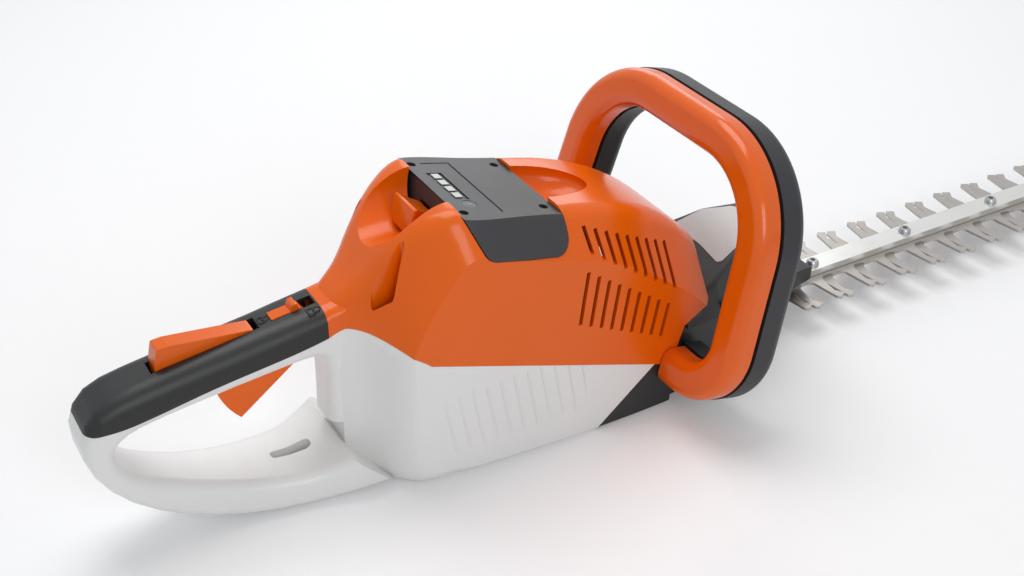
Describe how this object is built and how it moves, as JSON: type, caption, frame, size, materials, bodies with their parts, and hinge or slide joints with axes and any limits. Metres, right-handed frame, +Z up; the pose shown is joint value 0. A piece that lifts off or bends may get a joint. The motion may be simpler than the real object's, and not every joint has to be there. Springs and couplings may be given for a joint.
{
  "type": "hedge trimmer",
  "caption": "Battery hedge trimmer with a D-shaped rear grip, a looped front handle, a drop-in battery and a long bar of twin reciprocating toothed blades.",
  "frame": {"origin": "in the flat underside the tool rests on, below the battery, on the middle plane", "axes": "+X forward along the blades, +Y to the left of the tool, +Z up"},
  "size_m": [1.03, 0.2276, 0.1932],
  "materials": {
    "orange_shell": "satin moulded ABS, orange",
    "white_shell": "satin moulded ABS, off-white",
    "black_plastic": "fine textured moulded plastic, black",
    "soft_grip": "soft overmoulded grip, black",
    "grey_plastic": "satin plastic, grey",
    "cast_housing": "powder coated casting, black",
    "blade_steel": "ground and polished",
    "rail_steel": "satin",
    "screw_steel": "zinc plated",
    "dark_screw": "black oxide",
    "gear_steel": "machined, oiled",
    "motor_steel": "zinc plated",
    "magnet": "ferrite",
    "laminations": "laminated",
    "bearing_steel": "polished",
    "bronze": "satin",
    "board_green": "solder mask",
    "spring_steel": "wire",
    "led_white": "lit window",
    "plate_grey": "bare label"
  },
  "bodies": {
    "tool": {"upper_housing": "orange_shell", "lower_housing": "white_shell", "grip_cover": "soft_grip", "gear_housing": "cast_housing", "gear_cover": "cast_housing", "hand_guard": "black_plastic", "rating_label": "plate_grey", "battery_bay": "black_plastic", "contact_block": "grey_plastic", "eject_springs": "spring_steel", "lock_pin": "screw_steel", "pivot_pins": "screw_steel", "control_switch": "grey_plastic", "control_board": "board_green", "trigger_spring": "spring_steel", "lockout_spring": "spring_steel", "housing_screws": "dark_screw", "deck_screws": "screw_steel", "motor_can": "motor_steel", "motor_end_bell": "motor_steel", "magnet_ring": "magnet", "motor_bearings": "bearing_steel", "crank_bearings": "bearing_steel", "guide_bar": "rail_steel", "rail_bolts": "screw_steel", "bolt_sleeves": "bronze", "bolt_nuts": "screw_steel", "rail_screws": "dark_screw", "front_handle": "orange_shell", "bar_guides": "screw_steel", "bar_springs": "spring_steel", "bar_switch": "grey_plastic", "foot_bolts": "screw_steel"},
    "battery": {"battery_cap": "black_plastic", "battery_case": "black_plastic", "battery_cap_screws": "dark_screw", "led_bars": "led_white"},
    "gauge_button": {"charge_gauge_button": "grey_plastic"},
    "battery_lock": {"lock_lever": "orange_shell"},
    "lockout": {"lockout_lever": "orange_shell"},
    "latch_slide": {"slide_latch": "orange_shell"},
    "trigger": {"trigger": "orange_shell"},
    "switch_bar": {"switch_bar": "black_plastic"},
    "crank": {"crank_shaft": "gear_steel", "drive_gear": "gear_steel"},
    "rotor": {"motor_shaft": "gear_steel", "pinion": "gear_steel", "rotor_stack": "laminations", "cooling_fan": "black_plastic"},
    "upper_blade": {"upper_blade": "blade_steel"},
    "lower_blade": {"lower_blade": "blade_steel"}
  },
  "joints": [
    {"name": "battery_slide", "type": "slide", "parent": "tool", "child": "battery", "axis": [0.2419, 0, 0.9703], "range_m": [0, 0.125], "deforming": ["eject_springs"]},
    {"name": "gauge_button_press", "type": "slide", "parent": "battery", "child": "gauge_button", "axis": [-0.2419, 0, -0.9703], "range_m": [0, 0.0008], "stiffness_N_per_m": 800, "springref_m": -0.001},
    {"name": "lock_lever_pivot", "type": "hinge", "parent": "tool", "child": "battery_lock", "pos_m": [-0.0605, 0, 0.1605], "axis": [0, 1, 0], "range_deg": [-16, 0], "stiffness_Nm_per_rad": 0.05, "springref_deg": 17.19},
    {"name": "lockout_lever_pivot", "type": "hinge", "parent": "tool", "child": "lockout", "pos_m": [-0.166, 0, 0.113], "axis": [0, -1, 0], "range_deg": [0, 8], "stiffness_Nm_per_rad": 0.3, "springref_deg": -17.19, "deforming": ["lockout_spring"]},
    {"name": "slide_latch_travel", "type": "slide", "parent": "tool", "child": "latch_slide", "axis": [0.9923, 0, 0.1242], "range_m": [0, 0.008]},
    {"name": "trigger_pivot", "type": "hinge", "parent": "tool", "child": "trigger", "pos_m": [-0.1365, 0, 0.1015], "axis": [0, 1, 0], "range_deg": [0, 9], "stiffness_Nm_per_rad": 0.4, "springref_deg": -17.19, "deforming": ["trigger_spring"]},
    {"name": "switch_bar_press", "type": "slide", "parent": "tool", "child": "switch_bar", "axis": [-0.9659, 0, 0.2588], "range_m": [0, 0.0015], "stiffness_N_per_m": 3000, "springref_m": -0.002, "deforming": ["bar_springs"]},
    {"name": "crank_spin", "type": "hinge", "parent": "tool", "child": "crank", "pos_m": [0.14, 0, 0.036], "axis": [0, 0, 1], "continuous": true},
    {"name": "rotor_spin", "type": "hinge", "parent": "tool", "child": "rotor", "pos_m": [0.10295, 0, 0.08], "axis": [0, 0, 1], "continuous": true},
    {"name": "upper_blade_stroke", "type": "slide", "parent": "tool", "child": "upper_blade", "axis": [1, 0, 0], "range_m": [-0.0025, 0.0125]},
    {"name": "lower_blade_stroke", "type": "slide", "parent": "tool", "child": "lower_blade", "axis": [1, 0, 0], "range_m": [-0.0125, 0.0025]}
  ],
  "couplings": [
    {"joint": "lower_blade_stroke", "follows": "upper_blade_stroke", "ratio": -1},
    {"joint": "rotor_spin", "follows": "crank_spin", "ratio": -4.4444}
  ]
}
